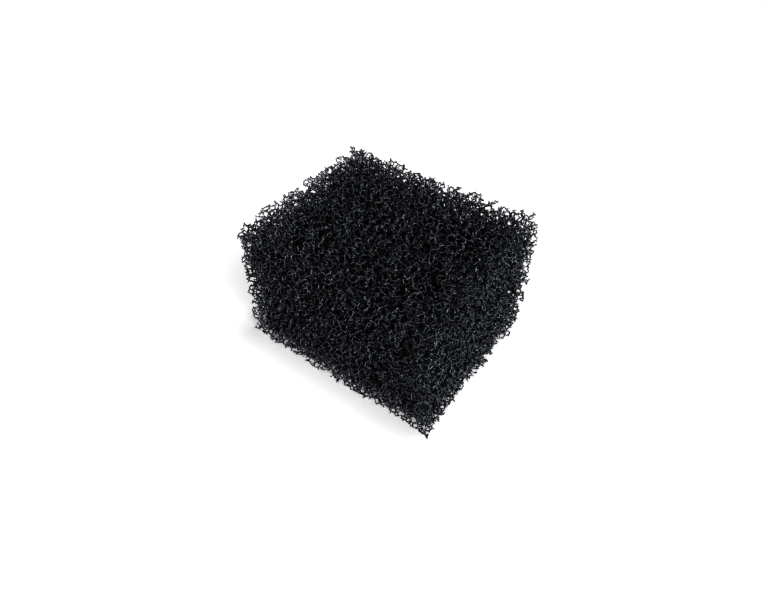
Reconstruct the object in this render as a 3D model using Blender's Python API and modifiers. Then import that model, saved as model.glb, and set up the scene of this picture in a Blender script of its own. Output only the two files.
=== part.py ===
"""Filter sponge block: one pad of coarse, black, open-cell foam.

The pad is a single sawn block. It drops into a filter chamber, whose walls hold it by its
flat faces, and it has no core, tube, frame or fastener. Its length runs along X, its width
along Y and its height along Z. The origin is at the middle of the face that it rests on.
"""

import bmesh
import bpy

# Driving sizes, in metres
BLOCK_LENGTH = 0.100
BLOCK_WIDTH = 0.082
BLOCK_HEIGHT = 0.063
EDGE_EASE = 0.0012

# How finely an eased edge is divided
EASE_SEGMENTS = 3

# Black polyurethane: linear colour, roughness and metallic value
FOAM_COLOUR = (0.010, 0.010, 0.011, 1.0)
FOAM_ROUGHNESS = 0.48
FOAM_METALLIC = 0.0

COLLECTION_NAME = "filter_sponge_block"
FOAM_NODE = "foam_block"


def clear_scene():
    """Remove every object, so that the model starts from an empty scene."""
    for leftover in list(bpy.data.objects):
        bpy.data.objects.remove(leftover, do_unlink=True)


def make_foam_material():
    """Return the plain black foam material."""
    material = bpy.data.materials.new("black_foam")
    material.use_nodes = True
    shader = material.node_tree.nodes["Principled BSDF"]
    shader.inputs["Base Color"].default_value = FOAM_COLOUR
    shader.inputs["Roughness"].default_value = FOAM_ROUGHNESS
    shader.inputs["Metallic"].default_value = FOAM_METALLIC
    return material


def make_block_mesh(length, width, height):
    """Return a box of the given size, centred on the origin."""
    shape = bmesh.new()
    bmesh.ops.create_cube(shape, size=1.0)
    bmesh.ops.scale(shape, vec=(length, width, height), verts=shape.verts)
    mesh = bpy.data.meshes.new(FOAM_NODE)
    shape.to_mesh(mesh)
    shape.free()
    return mesh


def ease_edges(block, radius):
    """Round every sawn edge of the block by the given radius."""
    bevel = block.modifiers.new("eased_edges", "BEVEL")
    bevel.width = radius
    bevel.segments = EASE_SEGMENTS
    bevel.limit_method = "NONE"


def make_foam_block(collection):
    """Add the foam pad, standing on the origin's plane, to the collection."""
    mesh = make_block_mesh(BLOCK_LENGTH, BLOCK_WIDTH, BLOCK_HEIGHT)
    mesh.materials.append(make_foam_material())
    block = bpy.data.objects.new(FOAM_NODE, mesh)
    collection.objects.link(block)
    block.location = (0.0, 0.0, BLOCK_HEIGHT / 2)
    ease_edges(block, EDGE_EASE)
    return block


def main():
    clear_scene()
    collection = bpy.data.collections.new(COLLECTION_NAME)
    bpy.context.scene.collection.children.link(collection)
    make_foam_block(collection)


main()
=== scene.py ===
"""The looks of a filter sponge block: a saw-cut pad of coarse, black, open-cell foam.

The foam is built as the real one is. Cells are packed evenly but irregularly, a strand
runs wherever three cells meet, and a knot wherever four do. The network is then cut to
the block. Most cut strands end at their knot, and the rest in short bent tips.
"""

import itertools
import math

import bpy
import numpy as np
from mathutils import Matrix, Vector


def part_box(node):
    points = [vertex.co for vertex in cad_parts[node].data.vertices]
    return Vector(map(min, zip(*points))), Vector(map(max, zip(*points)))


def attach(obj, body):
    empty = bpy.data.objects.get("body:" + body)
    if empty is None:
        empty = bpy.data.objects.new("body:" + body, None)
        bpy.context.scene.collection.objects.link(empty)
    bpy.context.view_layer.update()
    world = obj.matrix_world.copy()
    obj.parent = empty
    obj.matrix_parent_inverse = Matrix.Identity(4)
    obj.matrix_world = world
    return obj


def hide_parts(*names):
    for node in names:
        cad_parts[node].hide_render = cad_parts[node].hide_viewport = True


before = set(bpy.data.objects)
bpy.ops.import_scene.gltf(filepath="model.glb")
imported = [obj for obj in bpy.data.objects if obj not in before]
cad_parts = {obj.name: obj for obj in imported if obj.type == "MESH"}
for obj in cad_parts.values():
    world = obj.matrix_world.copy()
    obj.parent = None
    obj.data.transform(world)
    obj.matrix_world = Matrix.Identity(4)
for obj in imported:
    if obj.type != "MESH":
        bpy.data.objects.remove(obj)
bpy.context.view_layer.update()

FOAM_NODE = "foam_block"
BLOCK_LOW, BLOCK_HIGH = (np.array(corner, float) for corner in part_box(FOAM_NODE))
BLOCK_MIDDLE = (BLOCK_LOW + BLOCK_HIGH) / 2
BLOCK_LENGTH = float(BLOCK_HIGH[0] - BLOCK_LOW[0])

# The foam's cells: their pitch in metres, and the seed of the network's random draws
CELL_PITCH = 0.0037
CELL_SEED = 3

# In cell pitches: the cells' margin past the block, and how far a knot can be from its cells
MARGIN_CELLS = 2.5
KNOT_REACH = 1.1

# How the cells are packed: the rounds, how far a cell pushes, and how hard
PACK_STEPS = 6
PACK_REACH = 1.10
PACK_PUSH = 0.35

# The least gap that a push is worked out for, as a share of its reach
LEAST_GAP = 0.05

# The least length that a vector is divided by
LEAST_LENGTH = 1e-12

# How many steps of the grid a cell's neighbours lie within, and how many of them are used
GRID_REACH = 2
NEIGHBOURS = 30

# The most knots that are tried at once, and how near a tie counts as free
MOST_TRIED = 600_000
TIE_SHARE = 1e-7

# How the knots settle between their strands, and how short strands are opened
SETTLE_STEPS = 4
SETTLE_SHARE = 0.5
SHORTEST_STRAND = 0.2
OPEN_STEPS = 3
OPEN_SHARE = 0.5
MOST_OPENING = 4

# Strands and knots, as shares of the cell pitch
KNOT_RADIUS = 0.097
STRAND_RADIUS = 0.079
LEAST_WAIST_LENGTH = 0.34
WAISTED_DEPTH = 1.2
STRAND_BOW = 0.18

# The most of its shortest strand that a knot takes up
KNOT_ROOM = 0.75

# The thinnest and thickest of each, as shares of its usual radius
KNOT_SPREAD = (0.9, 1.15)
STRAND_SPREAD = (0.85, 1.2)
STUB_SPREAD = (0.8, 1.1)

# The lowest that a knot's middle can lie
LOWEST_KNOT = 0.09
FLOOR_LEVEL = BLOCK_LOW[2] + LOWEST_KNOT * CELL_PITCH

# The saw cut, in metres
CUT_PROUD = np.array([0.0014, 0.0014, 0.0020])
CUT_ROUND = 0.0002
CUT_WAVE = 0.00022
CUT_WAVE_LENGTH = 0.018
CUT_WAVES = 6
CUT_SCATTER = 0.0008

# The cut strands: how many knots are trimmed away, and how many ends have no stub
TRIM_STEPS = 3
TRIM_SHARE = 0.85
BLUNT_SHARE = 0.60

# How much of a cut strand is left as its stub
LEAST_STUB, MOST_STUB = 0.20, 0.50
STUB_UNEVEN = (-0.15, 0.3)
LEAST_RISE = 1e-9

# The tips of the cut strands, in metres: their length, and how far they bend
TIP_LENGTH = 0.0005
TIP_BEND = 0.0004

# The least and most of that length that a tip can have
TIP_SPREAD = (0.2, 1.3)

# The steps that a tip is drawn out in, and how much of its width is left after each
TIP_STEPS = 2
TIP_TAPER = 0.85
TIP_SEED = 11

# The curl of every strand, in metres
CURL_HEIGHT = 0.0012
CURL_LENGTH = 0.0040
CURL_DETAIL = 1.0

# The face attribute that marks the cut end of a strand
CUT_MARK = "cut_end"

# The foam's surface pattern is drawn along one slanted line of sight through the block
PATTERN_MAP = "OFBake"
PATTERN_SPAN = 0.135
PATTERN_SLANT = (0.37, 0.61)

# The foam's finish: linear colours
DARK_FOAM = (0.0010, 0.0010, 0.0012, 1)
LIGHT_FOAM = (0.0030, 0.0031, 0.0036, 1)

# The size of its grain in metres, and how fine the grain is broken up
STRAND_GRAIN, STRAND_DETAIL = 0.002, 2.0
BLOTCH_GRAIN, BLOTCH_DETAIL = 0.012, 1.0

# Its least roughness, and the most that each grain adds
FOAM_ROUGHNESS = 0.33
STRAND_ROUGHNESS = 0.22
BLOTCH_ROUGHNESS = 0.16
FOAM_SPECULAR = 0.8
FOAM_SHINE = (0.88, 0.92, 1.0, 1)

# The floor, in metres: half its side, its drop below the block, and how wide the fade is where its
# glow gives way to painted shade under the block
FLOOR_HALF = 3.0
FLOOR_DROP = 0.0002
PAINTED_SHADE_FADE = 0.012

# The floor's glow, and how white it is
FLOOR_GLOW = 0.658
FLOOR_WHITE = 0.80

# The room's light on things, and how white its walls look
ROOM_LIGHT = 0.012
ROOM_WHITE = 1.2

# Lights: azimuth, elevation and width in degrees, then strength
FOAM_LIGHTS = {
    "back_light": (-35, 28, 30, 1.7),
    "back_right_light": (45, 20, 30, 2.6),
    "right_light": (106, 26, 42, 24.5),
    "left_light": (232, 22, 42, 14.8),
}
FLOOR_LIGHTS = {
    "floor_top_light": (50, 80, 15, 0.85),
    "floor_front_light": (113, 50, 17, 0.80),
}

# Under 1 deepens the dark tones and leaves white as it is
VIEW_GAMMA = 0.44

# Camera: degrees, and shares of the block's length
VIEW_AZIMUTH = 36.4
VIEW_ELEVATION = 45.5
VIEW_DISTANCE = 2.82
VIEW_RIGHT, VIEW_UP = 0.0215, 0.0725

# The camera's sensor and lens in millimetres, and its nearest sight in metres
SENSOR_WIDTH = 36.0
LENS = 28.1
NEAREST_SIGHT = 0.01


# ---- Node trees ---------------------------------------------------------------------


class Wire:
    """An output of a node. Arithmetic on it adds Math nodes."""

    def __init__(self, graph, socket):
        self.graph = graph
        self.socket = socket

    def maths(self, operation, first, second):
        return self.graph.node("ShaderNodeMath", {"operation": operation}, {0: first, 1: second})

    def __add__(self, other):
        return self.maths("ADD", self, other)

    __radd__ = __add__

    def __mul__(self, other):
        return self.maths("MULTIPLY", self, other)

    __rmul__ = __mul__

    def __truediv__(self, other):
        return self.maths("DIVIDE", self, other)

    def __rtruediv__(self, other):
        return self.maths("DIVIDE", other, self)


class Graph:
    """Adds nodes to one tree."""

    def __init__(self, tree):
        self.tree = tree

    def node(self, kind, settings=None, sockets=None, result=0):
        """Adds a node, sets it up, fills its sockets and returns one of its outputs."""
        made = self.tree.nodes.new(kind)
        for name, value in (settings or {}).items():
            setattr(made, name, value)
        for name, value in (sockets or {}).items():
            open_sockets = [s for s in made.inputs if s.enabled and s.name == name]
            self.feed(open_sockets[0] if open_sockets else made.inputs[name], value)
        return Wire(self, made.outputs[result]) if made.outputs else None

    def vector(self, operation, first, second=None, **others):
        """Adds a Vector Math node."""
        sockets = {0: first, **others}
        if second is not None:
            sockets[1] = second
        return self.node("ShaderNodeVectorMath", {"operation": operation}, sockets)

    def attribute(self, name, kind):
        """Reads an attribute of the geometry by its name."""
        return self.node("GeometryNodeInputNamedAttribute", {"data_type": kind}, {"Name": name})

    def feed(self, socket, value):
        if isinstance(value, Wire):
            self.tree.links.new(value.socket, socket)
        else:
            socket.default_value = value


# ---- Foam cells ---------------------------------------------------------------------


def length_of(vectors):
    """The length of each vector in an array."""
    return np.sqrt(np.einsum("...i,...i->...", vectors, vectors))


def unit(vectors):
    """Each vector at a length of one."""
    return vectors / np.maximum(length_of(vectors), LEAST_LENGTH)[..., None]


def grid_shifts():
    """The steps from a cell of the grid to each cell near it."""
    return list(itertools.product(range(-GRID_REACH, GRID_REACH + 1), repeat=3))


def scatter_cells(rng):
    """One cell centre at random in each cube of a grid that runs past the block."""
    counts = np.ceil((BLOCK_HIGH - BLOCK_LOW) / CELL_PITCH + 2 * MARGIN_CELLS).astype(int)
    period = counts * CELL_PITCH
    grid = np.stack(np.meshgrid(*map(np.arange, counts), indexing="ij"), -1)
    places = (grid + rng.uniform(0, 1, grid.shape)) * CELL_PITCH
    return BLOCK_MIDDLE - period / 2 + places, period


def wrapped(away, period):
    """The shortest way round, because the grid of cells repeats at its sides."""
    return away - period * np.round(away / period)


def spread_cells(cells, period):
    """Pushes crowded cells apart, a little at a time, until they are evenly packed."""
    reach = PACK_REACH * CELL_PITCH
    shifts = [s for s in grid_shifts() if s > (0, 0, 0)]
    for _ in range(PACK_STEPS):
        push = np.zeros_like(cells)
        for shift in shifts:
            away = wrapped(np.roll(cells, shift, (0, 1, 2)) - cells, period)
            gap = np.maximum(length_of(away), LEAST_GAP * reach)
            step = away * np.clip(reach / gap - 1, 0, 1)[..., None]
            push -= step
            push += np.roll(step, [-s for s in shift], (0, 1, 2))
        cells = cells + PACK_PUSH * push
    return cells


def nearest_cells(cells, period):
    """Each cell's nearest neighbours in rising order of number, and the way to each."""
    shifts = [s for s in grid_shifts() if any(s)]
    number = np.arange(cells[..., 0].size).reshape(cells.shape[:3])
    ids = np.stack([np.roll(number, s, (0, 1, 2)).ravel() for s in shifts], 1)
    centres = cells.reshape(-1, 3)
    away = wrapped(centres[ids] - centres[:, None], period)
    near = np.argpartition(length_of(away), NEIGHBOURS, axis=1)[:, :NEIGHBOURS]
    order = np.argsort(np.take_along_axis(ids, near, 1), axis=1)
    near = np.take_along_axis(near, order, 1)
    ids = np.take_along_axis(ids, near, 1)
    return centres, ids, np.take_along_axis(away, near[..., None], 1)


def equal_reach(a, b, c):
    """The point as far from the origin as from a, b and c, and the volume they span."""
    aa, bb, cc = (np.einsum("...i,...i->...", v, v)[..., None] for v in (a, b, c))
    bc = np.cross(b, c)
    volume = np.einsum("...i,...i->...", a, bc)
    with np.errstate(divide="ignore", invalid="ignore"):
        middle = aa * bc + bb * np.cross(c, a) + cc * np.cross(a, b)
        return middle / (2 * volume[..., None]), volume


def find_knots(centres, ids, away):
    """Every point where four cells meet: its place, the four cells and their turn.

    A knot is found from its lowest-numbered cell: it is equally far from that cell and
    three higher-numbered neighbours, and no other cell is nearer.
    """
    higher = (ids > np.arange(len(ids))[:, None]).sum(1)
    knots = []
    for count in np.unique(higher[higher >= 3]):
        threes = np.array(list(itertools.combinations(range(count), 3)))
        members = np.flatnonzero(higher == count)
        batch = max(1, MOST_TRIED // len(threes))
        for chunk in np.split(members, range(batch, len(members), batch)):
            near = away[chunk]
            above = near[:, -count:]
            middle, volume = equal_reach(*(above[:, threes[:, i]] for i in range(3)))
            cell, three = np.nonzero(length_of(middle) < KNOT_REACH * CELL_PITCH)
            middle = middle[cell, three]
            squares = np.einsum("nki,nki->nk", near, near)
            nearer = 2 * np.einsum("pi,pki->pk", middle, near[cell]) - squares[cell]
            free = nearer.max(1) < TIE_SHARE * CELL_PITCH**2
            cell, three, middle = cell[free], three[free], middle[free]
            others = ids[chunk, -count:][cell[:, None], threes[three]]
            corners = np.column_stack([chunk[cell], others])
            turn = np.sign(volume[cell, three]).astype(int)
            knots.append((centres[chunk[cell]] + middle, corners, turn))
    return [np.concatenate(part) for part in zip(*knots)]


def find_strands(corners, total):
    """Pairs of knots that share three cells, and which cell each knot leaves out."""
    knot = np.tile(np.arange(len(corners)), 4)
    left_out = np.repeat(np.arange(4), len(corners))
    threes = np.concatenate([np.delete(corners, k, axis=1) for k in range(4)])
    key = (threes[:, 0] * total + threes[:, 1]) * total + threes[:, 2]
    order = np.argsort(key, kind="stable")
    pairs = np.flatnonzero(key[order[:-1]] == key[order[1:]])
    first, second = order[pairs], order[pairs + 1]
    return np.stack([knot[first], left_out[first], knot[second], left_out[second]], 1)


def settle_knots(knots, strands, period):
    """Draws each knot towards the middle of its neighbours, then opens short strands."""
    first, second = strands[:, 0], strands[:, 2]
    number = np.bincount(np.concatenate([first, second]), minlength=len(knots))

    def pulled(amounts):
        total = np.zeros_like(knots)
        for axis in range(3):
            total[:, axis] += np.bincount(first, amounts[:, axis], len(knots))
            total[:, axis] -= np.bincount(second, amounts[:, axis], len(knots))
        return total

    for _ in range(SETTLE_STEPS):
        away = wrapped(knots[second] - knots[first], period)
        knots = knots + SETTLE_SHARE * pulled(away) / np.maximum(number, 1)[:, None]
    least = SHORTEST_STRAND * CELL_PITCH
    for _ in range(OPEN_STEPS):
        away = wrapped(knots[second] - knots[first], period)
        gap = np.maximum(length_of(away), LEAST_GAP * least)
        short = np.clip(least / gap - 1, 0, MOST_OPENING)
        knots = knots - OPEN_SHARE * pulled(away * short[:, None])
    return knots


# ---- Cutting the block --------------------------------------------------------------


def height_above_cut(points, rng):
    """How far each point lies outside the saw cut, which is slightly uneven."""
    half = (BLOCK_HIGH - BLOCK_LOW) / 2 + CUT_PROUD - CUT_ROUND
    past = np.abs(points - BLOCK_MIDDLE) - half
    height = length_of(np.maximum(past, 0)) + np.minimum(past.max(1), 0) - CUT_ROUND
    for _ in range(CUT_WAVES):
        direction = unit(rng.normal(0, 1, 3)) * 2 * math.pi / CUT_WAVE_LENGTH
        height += CUT_WAVE * np.sin(points @ direction + rng.uniform(0, 2 * math.pi))
    return height + rng.normal(0, CUT_SCATTER, len(points))


def trimmed(kept, strands, rng):
    """Drops most of the knots that would hang from a single strand."""
    first, second = strands[:, 0], strands[:, 2]
    for _ in range(TRIM_STEPS):
        whole = kept[first] & kept[second]
        ends = np.concatenate([first[whole], second[whole]])
        held = np.bincount(ends, minlength=len(kept))
        kept = kept & ((held > 1) | (rng.uniform(0, 1, len(kept)) > TRIM_SHARE))
    return kept


def largest_network(kept, strands):
    """Drops the loose scraps: keeps only knots joined to the main network."""
    first, second = strands[:, 0], strands[:, 2]
    both = kept[first] & kept[second]
    first, second = first[both], second[both]
    label = np.where(kept, np.arange(len(kept)), -1)
    while True:
        before = label.copy()
        high = np.maximum(label[first], label[second])
        np.maximum.at(label, first, high)
        np.maximum.at(label, second, high)
        label = np.where(kept, label[label], -1)
        if (label == before).all():
            break
    return label == np.bincount(label[kept]).argmax()


# ---- The foam's skin ----------------------------------------------------------------

# A knot has six corners, one between each two of its strands.
PAIRS = list(itertools.combinations(range(4), 2))
PAIR_NUMBER = np.array([[PAIRS.index((min(k, m), max(k, m))) if k != m else -1
                         for m in range(4)] for k in range(4)])
# Where a strand's three cells stand among its knot's four, by the cell left out.
OTHERS = np.array([[m for m in range(4) if m != k] for k in range(4)])


def strand_turn(turn, left_out):
    """+1 if a strand's three cells run anticlockwise as seen from its far end, or -1."""
    return -turn * (-1) ** (3 - left_out)


def knot_corners(places, ways, radius):
    """The six corners of each knot, in three opposite pairs."""
    corners = np.empty((len(places), 6, 3))
    for number, (k, m) in enumerate(PAIRS):
        others = [n for n in range(4) if n not in (k, m)]
        lean = unit(ways[:, k] + ways[:, m]) - unit(ways[:, others[0]] + ways[:, others[1]])
        corners[:, number] = places + unit(lean) * radius[:, None]
    return corners


class Skin:
    """Collects the points and faces of the foam's surface."""

    def __init__(self):
        self.points, self.faces, self.cut, self.count = [], [], [], 0

    def add_points(self, points):
        first = self.count
        self.points.append(points.reshape(-1, 3))
        self.count += len(self.points[-1])
        return first + np.arange(len(self.points[-1])).reshape(points.shape[:-1])

    def add_faces(self, faces, turn, cut=False):
        """Adds faces that run anticlockwise where turn is +1, and clockwise where -1."""
        self.faces.append(np.where(turn[:, None] > 0, faces, faces[:, ::-1]))
        self.cut.append(np.broadcast_to(cut, len(faces)))

    def sleeve(self, start, end, turn):
        """Joins two rings of three points with three four-sided faces."""
        for side in range(3):
            a, b = (side + 1) % 3, (side + 2) % 3
            self.add_faces(np.stack([start[:, a], start[:, b], end[:, b], end[:, a]], 1), turn)

    def mesh(self, name):
        points = np.concatenate(self.points)
        sides = np.concatenate([np.full(len(f), f.shape[1]) for f in self.faces])
        corners = np.concatenate([f.ravel() for f in self.faces])
        mesh = bpy.data.meshes.new(name)
        mesh.vertices.add(len(points))
        mesh.vertices.foreach_set("co", points.astype(np.float32).ravel())
        mesh.loops.add(len(corners))
        mesh.loops.foreach_set("vertex_index", corners.astype(np.int32))
        mesh.polygons.add(len(sides))
        starts = np.concatenate([[0], np.cumsum(sides)[:-1]])
        mesh.polygons.foreach_set("loop_start", starts.astype(np.int32))
        mesh.update(calc_edges=True)
        mark = mesh.attributes.new(CUT_MARK, "BOOLEAN", "FACE")
        mark.data.foreach_set("value", np.concatenate(self.cut))
        return mesh


def strand_ring(middle, way, guide, radius):
    """Three points round a strand, towards the three guide points, square to its way."""
    spokes = guide - middle[:, None]
    spokes -= way[:, None] * np.einsum("nki,ni->nk", spokes, way)[..., None]
    return middle[:, None] + unit(spokes) * radius[:, None, None]


class Network:
    """The knots and strands of the whole foam, and which knots the saw has left."""

    def __init__(self, rng):
        cells, period = scatter_cells(rng)
        cells = spread_cells(cells, period)
        centres, ids, away = nearest_cells(cells, period)
        knots, corners, self.turn = find_knots(centres, ids, away)
        strands = find_strands(corners, len(centres))
        knots = settle_knots(knots, strands, period)
        self.period = period
        self.strands = strands
        self.height = height_above_cut(knots, rng)
        self.kept = largest_network(trimmed(self.height < 0, strands, rng), strands)

        # The foam's own weight presses its lowest strands flat on the floor.
        knots[:, 2] = np.maximum(knots[:, 2], FLOOR_LEVEL)
        self.knots = knots

        # Ways out of each knot, one per cell left out.
        first, first_out, second, second_out = strands.T
        reach = self.way_between(first, second)
        self.span = length_of(reach)
        self.ways = np.zeros((len(knots), 4, 3))
        self.ways[first, first_out] = unit(reach)
        self.ways[second, second_out] = -unit(reach)
        self.radius = self.knot_radius(first, second, rng)

    def way_between(self, first, second):
        """The way from each first knot to its second."""
        return wrapped(self.knots[second] - self.knots[first], self.period)

    def knot_radius(self, first, second, rng):
        """Each knot's radius, smaller where its strands are short."""
        shortest = np.full(len(self.knots), np.inf)
        np.minimum.at(shortest, first, self.span)
        np.minimum.at(shortest, second, self.span)
        radius = np.minimum(KNOT_RADIUS * CELL_PITCH, KNOT_ROOM * shortest)
        return radius * rng.uniform(*KNOT_SPREAD, len(radius))

    def cut_strands(self):
        """The kept knot of each cut strand, the cell it leaves out and the lost knot."""
        first, first_out, second, second_out = self.strands.T
        stubs = []
        for inner, inner_out, outer in ((first, first_out, second), (second, second_out, first)):
            cut = self.kept[inner] & ~self.kept[outer]
            stubs.append(np.stack([inner[cut], inner_out[cut], outer[cut]], 1))
        return np.concatenate(stubs)

    def lone_ends(self):
        """Ways out of the kept knots that no strand takes."""
        first, first_out, second, second_out = self.strands.T
        joined = np.zeros((len(self.knots), 4), bool)
        joined[first, first_out] = True
        joined[second, second_out] = True
        return np.nonzero(self.kept[:, None] & ~joined)


class FoamSkin(Skin):
    """The closed surface of a network's kept part."""

    def __init__(self, network):
        super().__init__()
        self.network = network
        kept = network.kept
        self.number = np.full(len(kept), -1)
        self.number[kept] = np.arange(kept.sum())
        corners = knot_corners(network.knots[kept], network.ways[kept], network.radius[kept])
        self.corner_points = corners
        self.corner_ids = self.add_points(corners)

    def ring_at(self, knot, left_out):
        """The three corners of a knot that a strand grows from, in its cells' order."""
        pair = PAIR_NUMBER[left_out[:, None], OTHERS[left_out]]
        row = self.number[knot][:, None]
        return self.corner_ids[row, pair], self.corner_points[row, pair]

    def close_ends(self, knot, left_out):
        """Closes a knot where no strand leaves it."""
        ring, _ = self.ring_at(knot, left_out)
        self.add_faces(ring, strand_turn(self.network.turn[knot], left_out))

    def add_knots(self):
        """Adds each knot's small faces, one towards each of its four cells."""
        turn = self.network.turn[self.network.kept]
        for cell in range(4):
            a, b, c = OTHERS[cell]
            place = list(OTHERS[a]).index(cell)
            x, y = OTHERS[a][(place + 1) % 3], OTHERS[a][(place + 2) % 3]
            face = self.corner_ids[:, [PAIR_NUMBER[a, y], PAIR_NUMBER[a, x], PAIR_NUMBER[b, c]]]
            self.add_faces(face, strand_turn(turn, a))

    def add_whole_strands(self, rng):
        """Joins the knots, with a waist where a strand is long and near the surface."""
        foam = self.network
        whole = foam.kept[foam.strands[:, 0]] & foam.kept[foam.strands[:, 2]]
        a, a_out, b, b_out = foam.strands[whole].T
        spin = strand_turn(foam.turn[a], a_out)
        start, start_points = self.ring_at(a, a_out)
        end, end_points = self.ring_at(b, b_out)
        deep = np.maximum(foam.height[a], foam.height[b]) < -WAISTED_DEPTH * CELL_PITCH
        plain = (foam.span[whole] < LEAST_WAIST_LENGTH * CELL_PITCH) | deep
        self.sleeve(start[plain], end[plain], spin[plain])
        waisted = ~plain
        way = unit(foam.knots[b] - foam.knots[a])[waisted]
        bow = rng.normal(0, STRAND_BOW * CELL_PITCH, (waisted.sum(), 3))
        bow -= way * np.einsum("ni,ni->n", bow, way)[:, None]
        middle = ((foam.knots[a] + foam.knots[b]) / 2)[waisted]
        guide = (start_points + end_points)[waisted] / 2
        thick = STRAND_RADIUS * CELL_PITCH * rng.uniform(*STRAND_SPREAD, waisted.sum())
        waist = self.add_points(strand_ring(middle, way, guide, thick) + bow[:, None])
        self.sleeve(start[waisted], waist, spin[waisted])
        self.sleeve(waist, end[waisted], spin[waisted])

    def add_stubs(self, stubs, rng):
        """Adds what the saw leaves of the cut strands, and marks their cut ends."""
        foam = self.network
        inner, inner_out, outer = stubs.T
        spin = strand_turn(foam.turn[inner], inner_out)
        start, start_points = self.ring_at(inner, inner_out)
        rise = np.maximum(foam.height[outer] - foam.height[inner], LEAST_RISE)
        share = -foam.height[inner] / rise + rng.uniform(*STUB_UNEVEN, len(rise))
        share = np.clip(share, LEAST_STUB, MOST_STUB)
        middle = foam.knots[inner] + foam.way_between(inner, outer) * share[:, None]
        lowest = BLOCK_LOW[2] + STRAND_RADIUS * CELL_PITCH
        standing = middle[:, 2] > lowest + TIP_LENGTH
        middle[:, 2] = np.maximum(middle[:, 2], lowest)
        way = unit(middle - foam.knots[inner])
        thick = STRAND_RADIUS * CELL_PITCH * rng.uniform(*STUB_SPREAD, len(rise))
        end = self.add_points(strand_ring(middle, way, start_points, thick))
        self.sleeve(start, end, spin)
        self.add_faces(end, spin, standing)


def foam_mesh():
    """The whole open-cell network, cut to the block, as one closed surface."""
    rng = np.random.default_rng(CELL_SEED)
    network = Network(rng)
    skin = FoamSkin(network)
    skin.add_knots()
    skin.add_whole_strands(rng)

    # Most cut strands are worn back to the knot, and the rest keep a stub.
    stubs = network.cut_strands()
    blunt = rng.uniform(0, 1, len(stubs)) < BLUNT_SHARE
    skin.close_ends(stubs[blunt, 0], stubs[blunt, 1])
    skin.add_stubs(stubs[~blunt], rng)
    skin.close_ends(*network.lone_ends())
    return skin.mesh("foam")


# ---- Tips and curl ------------------------------------------------------------------


def inputs_of(tree, sockets):
    """Adds named inputs to a geometry node tree, each of its own kind."""
    for name, kind in sockets.items():
        tree.interface.new_socket(name, in_out="INPUT", socket_type="NodeSocket" + kind)


def tips_tree():
    """Draws each cut end out into a bent, tapered tip, then curls every strand."""
    tree = bpy.data.node_groups.new("tips_and_curl", "GeometryNodeTree")
    inputs_of(tree, {
        "Foam": "Geometry", "Tip Length": "Float", "Tip Bend": "Float", "Tip Taper": "Float",
        "Curl Height": "Float", "Curl Length": "Float", "Lowest": "Float", "Seed": "Int",
        "Finish": "Material",
    })
    tree.interface.new_socket("Foam", in_out="OUTPUT", socket_type="NodeSocketGeometry")
    graph = Graph(tree)
    given = tree.nodes.new("NodeGroupInput")
    value = {socket.name: Wire(graph, socket) for socket in given.outputs if socket.name}

    foam = value["Foam"]
    random_length = graph.node(
        "FunctionNodeRandomValue", {"data_type": "FLOAT"},
        {2: TIP_SPREAD[0], 3: TIP_SPREAD[1], "Seed": value["Seed"]}, 1)
    random_bend = graph.node(
        "FunctionNodeRandomValue", {"data_type": "FLOAT_VECTOR"},
        {0: (-1, -1, -1), 1: (1, 1, 1), "Seed": value["Seed"]}, 0)
    for name, kind, random in (("tip_length", "FLOAT", random_length * value["Tip Length"]),
                               ("tip_bend", "FLOAT_VECTOR", random_bend)):
        foam = graph.node(
            "GeometryNodeStoreNamedAttribute", {"data_type": kind, "domain": "FACE"},
            {"Geometry": foam, "Name": name, "Value": random})
    length = graph.attribute("tip_length", "FLOAT")
    bend = graph.attribute("tip_bend", "FLOAT_VECTOR")
    normal = graph.node("GeometryNodeInputNormal")
    top = graph.attribute(CUT_MARK, "BOOLEAN")
    for step in range(1, TIP_STEPS + 1):
        forward = graph.vector("SCALE", normal, Scale=length / TIP_STEPS)
        aside = graph.vector("SCALE", bend, Scale=value["Tip Bend"] * (step / TIP_STEPS**2))
        extruded = graph.node(
            "GeometryNodeExtrudeMesh", {"mode": "FACES"},
            {"Mesh": foam, "Selection": top, "Offset": graph.vector("ADD", forward, aside),
             "Offset Scale": 1.0})
        top = Wire(graph, extruded.socket.node.outputs["Top"])
        foam = graph.node(
            "GeometryNodeScaleElements", {"domain": "FACE"},
            {"Geometry": extruded, "Selection": top, "Scale": value["Tip Taper"]})

    place = graph.node("GeometryNodeInputPosition")
    noise = graph.node(
        "ShaderNodeTexNoise", {"noise_dimensions": "3D"},
        {"Vector": place, "Scale": 1.0 / value["Curl Length"], "Detail": CURL_DETAIL}, "Color")
    centred = graph.vector("SUBTRACT", noise, (0.5, 0.5, 0.5))
    curl = graph.vector("SCALE", centred, Scale=value["Curl Height"])
    foam = graph.node("GeometryNodeSetPosition", {}, {"Geometry": foam, "Offset": curl})
    floor = graph.node("ShaderNodeCombineXYZ", {}, {"X": -1.0, "Y": -1.0, "Z": value["Lowest"]})
    foam = graph.node(
        "GeometryNodeSetPosition", {},
        {"Geometry": foam, "Position": graph.vector("MAXIMUM", place, floor)})
    foam = graph.node("GeometryNodeSetShadeSmooth", {}, {"Geometry": foam})
    foam = graph.node("GeometryNodeRealizeInstances", {}, {"Geometry": foam})
    foam = graph.node(
        "GeometryNodeSetMaterial", {}, {"Geometry": foam, "Material": value["Finish"]})
    graph.node("NodeGroupOutput", {}, {"Foam": foam})
    return tree


def grown(foam, tree, values):
    """The foam's mesh as the tree leaves it, with the given values at its inputs."""
    modifier = foam.modifiers.new("tips_and_curl", "NODES")
    modifier.node_group = tree
    for item in tree.interface.items_tree:
        if item.in_out == "INPUT" and item.name in values:
            modifier[item.identifier] = values[item.name]
    ready = foam.evaluated_get(bpy.context.evaluated_depsgraph_get())
    mesh = bpy.data.meshes.new_from_object(ready)
    foam.modifiers.remove(modifier)
    for name in (CUT_MARK, "tip_length", "tip_bend"):
        mesh.attributes.remove(mesh.attributes[name])
    return mesh


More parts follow.
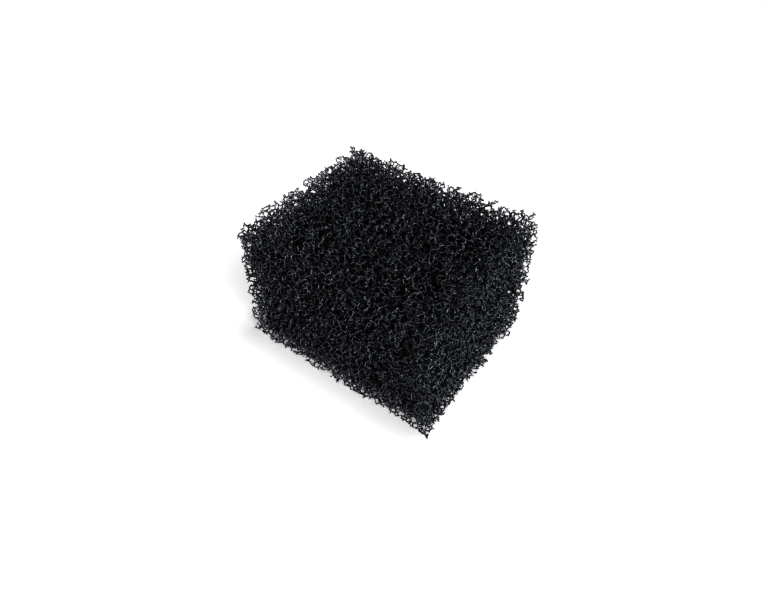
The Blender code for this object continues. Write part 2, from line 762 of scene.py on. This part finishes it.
def draw_pattern_map(mesh):
    """Gives every point its place on the pattern, along one slanted line of sight."""
    places = np.empty(len(mesh.vertices) * 3, np.float32)
    mesh.vertices.foreach_get("co", places)
    places = places.reshape(-1, 3) - BLOCK_MIDDLE
    pattern = places[:, :2] + places[:, 2:] * PATTERN_SLANT
    pattern = pattern / PATTERN_SPAN + 0.5
    corners = np.empty(len(mesh.loops), np.int32)
    mesh.loops.foreach_get("vertex_index", corners)
    layer = mesh.uv_layers.new(name=PATTERN_MAP)
    layer.data.foreach_set("uv", pattern[corners].astype(np.float32).ravel())


# ---- Material -----------------------------------------------------------------------


def foam_material():
    """Black polyurethane with a slight sheen, a little uneven from strand to strand."""
    material = bpy.data.materials.new("black_foam")
    material.use_nodes = True
    graph = Graph(material.node_tree)
    shader = material.node_tree.nodes["Principled BSDF"]
    place = graph.node("ShaderNodeUVMap", {"uv_map": PATTERN_MAP})
    strand, blotch = (
        graph.node(
            "ShaderNodeTexNoise", {"noise_dimensions": "2D"},
            {"Vector": place, "Scale": PATTERN_SPAN / grain, "Detail": detail}, "Fac")
        for grain, detail in ((STRAND_GRAIN, STRAND_DETAIL), (BLOTCH_GRAIN, BLOTCH_DETAIL)))
    colour = graph.node(
        "ShaderNodeMix", {"data_type": "RGBA"}, {"Factor": strand, 6: DARK_FOAM, 7: LIGHT_FOAM}, 2)
    roughness = FOAM_ROUGHNESS + STRAND_ROUGHNESS * strand + BLOTCH_ROUGHNESS * blotch
    graph.feed(shader.inputs["Base Color"], colour)
    graph.feed(shader.inputs["Roughness"], roughness)
    shader.inputs["Specular IOR Level"].default_value = FOAM_SPECULAR
    shader.inputs["Specular Tint"].default_value = FOAM_SHINE
    return material


# ---- Floor, light and camera --------------------------------------------------------


def floor_material():
    """White, with a glow of its own that fades out under the block as painted shade."""
    material = bpy.data.materials.new("white_floor")
    material.use_nodes = True
    graph = Graph(material.node_tree)
    shader = material.node_tree.nodes["Principled BSDF"]
    shader.inputs["Base Color"].default_value = (FLOOR_WHITE, FLOOR_WHITE, FLOOR_WHITE, 1)
    shader.inputs["Roughness"].default_value = 1.0
    shader.inputs["Specular IOR Level"].default_value = 0.0
    shader.inputs["Emission Strength"].default_value = FLOOR_GLOW
    place = graph.node("ShaderNodeTexCoord", result="Object")
    half = (BLOCK_HIGH - BLOCK_LOW) / 2
    outside = graph.vector("SUBTRACT", graph.vector("ABSOLUTE", place), tuple(half))
    apart = graph.node("ShaderNodeSeparateXYZ", {}, {0: outside}, "X")
    beside = Wire(graph, apart.socket.node.outputs["Y"])
    # Painted shade: the floor's glow fades to black across the block's footprint, standing in for
    # the shade under the block.
    glow_past_painted_shade = graph.node(
        "ShaderNodeMapRange", {"interpolation_type": "SMOOTHSTEP"},
        {"Value": apart.maths("MAXIMUM", apart, beside), "From Min": -PAINTED_SHADE_FADE,
         "From Max": 0.0, "To Min": 0.0, "To Max": 1.0})
    graph.feed(shader.inputs["Emission Color"], graph.node(
        "ShaderNodeMix", {"data_type": "RGBA"}, {0: glow_past_painted_shade, 6: (0, 0, 0, 1), 7: (1, 1, 1, 1)}, 2))
    return material


def make_floor(floor_only):
    """A plain white floor, a hair below the block."""
    signs = ((-1, -1), (1, -1), (1, 1), (-1, 1))
    corners = [(x * FLOOR_HALF, y * FLOOR_HALF, -FLOOR_DROP) for x, y in signs]
    mesh = bpy.data.meshes.new("floor")
    mesh.from_pydata(corners, [], [(0, 1, 2, 3)])
    mesh.materials.append(floor_material())
    floor = bpy.data.objects.new("floor", mesh)
    bpy.context.scene.collection.objects.link(floor)
    floor_only.objects.link(floor)


def make_world():
    """A dim room whose walls look white to the camera."""
    world = bpy.data.worlds.new("studio")
    bpy.context.scene.world = world
    world.use_nodes = True
    background = world.node_tree.nodes["Background"]
    background.inputs["Color"].default_value = (1, 1, 1, 1)
    graph = Graph(world.node_tree)
    seen = graph.node("ShaderNodeLightPath", result="Is Camera Ray")
    graph.feed(background.inputs["Strength"], ROOM_LIGHT + (ROOM_WHITE - ROOM_LIGHT) * seen)


def sky_direction(azimuth, elevation):
    """The way to a point of the sky. Azimuth 0 is along +Y, and a quarter turn is +X."""
    level = math.cos(elevation)
    return Vector((math.sin(azimuth) * level, math.cos(azimuth) * level, math.sin(elevation)))


def soft_light(name, azimuth, elevation, width, strength, lit):
    """A distant soft light, all in degrees, that reaches one collection alone."""
    light = bpy.data.lights.new(name, "SUN")
    light.angle = math.radians(width)
    light.energy = strength
    lamp = bpy.data.objects.new(name, light)
    bpy.context.scene.collection.objects.link(lamp)
    towards = sky_direction(math.radians(azimuth), math.radians(elevation))
    lamp.location = Vector(BLOCK_MIDDLE) + towards
    lamp.rotation_euler = towards.to_track_quat("Z", "Y").to_euler()
    lamp.light_linking.receiver_collection = lit


def make_lights(foam_only, floor_only):
    """Low lights round the foam, which leave the floor alone, and two more for the floor."""
    for lights, lit in ((FOAM_LIGHTS, foam_only), (FLOOR_LIGHTS, floor_only)):
        for name, settings in lights.items():
            soft_light(name, *settings, lit)


def make_camera():
    """A camera above the block's front right edge."""
    azimuth, elevation = math.radians(VIEW_AZIMUTH), math.radians(VIEW_ELEVATION)
    back = sky_direction(math.pi - azimuth, elevation)
    right = Vector((math.cos(azimuth), math.sin(azimuth), 0))
    up = back.cross(right)
    away = VIEW_DISTANCE * back - VIEW_RIGHT * right - VIEW_UP * up
    turned = Matrix((right, up, back)).transposed().to_4x4()
    camera = bpy.data.cameras.new("camera")
    camera.sensor_width = SENSOR_WIDTH
    camera.lens = LENS
    camera.clip_start = NEAREST_SIGHT
    holder = bpy.data.objects.new("camera", camera)
    bpy.context.scene.collection.objects.link(holder)
    holder.matrix_world = Matrix.Translation(Vector(BLOCK_MIDDLE) + BLOCK_LENGTH * away) @ turned
    bpy.context.scene.camera = holder


def make_foam(foam_only):
    """The foam piece, in place of the plain CAD block."""
    network = bpy.data.objects.new("foam_network", foam_mesh())
    bpy.context.scene.collection.objects.link(network)
    mesh = grown(network, tips_tree(), {
        "Tip Length": TIP_LENGTH, "Tip Bend": TIP_BEND, "Tip Taper": TIP_TAPER,
        "Curl Height": CURL_HEIGHT, "Curl Length": CURL_LENGTH,
        "Lowest": float(BLOCK_LOW[2]), "Seed": TIP_SEED, "Finish": foam_material(),
    })
    bpy.data.objects.remove(network)
    draw_pattern_map(mesh)
    foam = bpy.data.objects.new("foam_strands", mesh)
    bpy.context.scene.collection.objects.link(foam)
    foam_only.objects.link(foam)
    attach(foam, "root")
    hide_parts(FOAM_NODE)


bpy.context.scene.view_settings.view_transform = "Standard"
bpy.context.scene.view_settings.gamma = VIEW_GAMMA
make_camera()
make_world()
foam_only = bpy.data.collections.new("foam_only")
floor_only = bpy.data.collections.new("floor_only")
make_floor(floor_only)
make_lights(foam_only, floor_only)
make_foam(foam_only)
